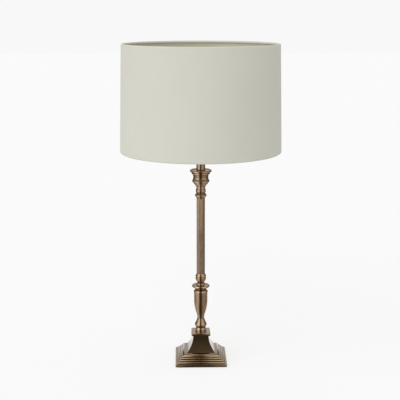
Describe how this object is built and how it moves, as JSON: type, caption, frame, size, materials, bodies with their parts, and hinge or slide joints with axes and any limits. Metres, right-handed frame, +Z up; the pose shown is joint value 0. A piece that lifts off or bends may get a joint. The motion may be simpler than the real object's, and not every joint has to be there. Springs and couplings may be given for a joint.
{
  "type": "column table lamp",
  "caption": "Table lamp with a stepped square base, a turned and tubular column, and a drum shade clamped on a screw lampholder with a push-bar switch.",
  "frame": {"origin": "on the table, under the column's axis, at the underside of the felt pad", "axes": "+Z up along the column; -Y is the front; the lead inlet and the shade's seam face +Y; the switch bar runs along X"},
  "size_m": [0.3498, 0.3503, 0.708],
  "materials": {
    "antique_brass": "polished, darkened to an antique brown",
    "tube_brass": "satin, darkened to an antique brown",
    "holder_brass": "satin",
    "contact_brass": "plain",
    "felt": "pressed felt",
    "ballast_iron": "black paint",
    "steel": "zinc plated",
    "dark_plastic": "dark brown, satin",
    "insulator": "black, moulded",
    "bulb_nickel": "nickel plated",
    "bulb_plastic": "white, satin",
    "opal": "opal white",
    "linen": "plain woven linen, off-white",
    "lining": "stiff lining film, off-white",
    "wire_white": "white powder coat"
  },
  "bodies": {
    "lamp": {"base_pad": "felt", "base_plate": "ballast_iron", "plate_screws": "steel", "base_casting": "antique_brass", "base_cap": "antique_brass", "cable_bush": "dark_plastic", "rod_washer": "steel", "earth_tag": "contact_brass", "rod_nut": "steel", "foot_collar": "antique_brass", "baluster": "antique_brass", "vase_collar": "antique_brass", "drip_disc": "antique_brass", "knop": "antique_brass", "column_tube": "tube_brass", "upper_collar": "antique_brass", "candle_cup": "antique_brass", "neck_sleeve": "antique_brass", "tie_rod": "steel", "holder_cap": "holder_brass", "grub_screw": "steel", "holder_body": "holder_brass", "holder_barrel": "holder_brass", "holder_core": "insulator", "screw_shell": "contact_brass", "centre_contact": "contact_brass", "terminals": "contact_brass", "terminal_screws": "steel", "seat_ring": "holder_brass"},
    "shade": {"shade_carrier": "wire_white", "bottom_wire": "wire_white", "top_wire": "wire_white", "shade_lining": "lining", "shade_cover": "linen", "seam_strip": "linen", "top_edge": "linen", "bottom_edge": "linen"},
    "clamp_ring": {"shade_ring": "holder_brass"},
    "bulb": {"bulb_cap": "bulb_nickel", "bulb_contact": "steel", "bulb_insulator": "insulator", "bulb_collar": "bulb_plastic", "bulb_dome": "opal"},
    "switch": {"switch_bar": "dark_plastic"}
  },
  "joints": [
    {"name": "shade_turn", "type": "hinge", "parent": "lamp", "child": "shade", "pos_m": [0, 0, 0.489], "axis": [0, 0, 1], "continuous": true},
    {"name": "ring_unscrew", "type": "slide", "parent": "lamp", "child": "clamp_ring", "axis": [0, 0, 1], "range_m": [0, 0.011]},
    {"name": "bulb_lift", "type": "slide", "parent": "lamp", "child": "bulb", "axis": [0, 0, 1], "range_m": [0, 0.235]},
    {"name": "switch_push", "type": "slide", "parent": "lamp", "child": "switch", "axis": [1, 0, 0], "range_m": [0, 0.005]}
  ]
}
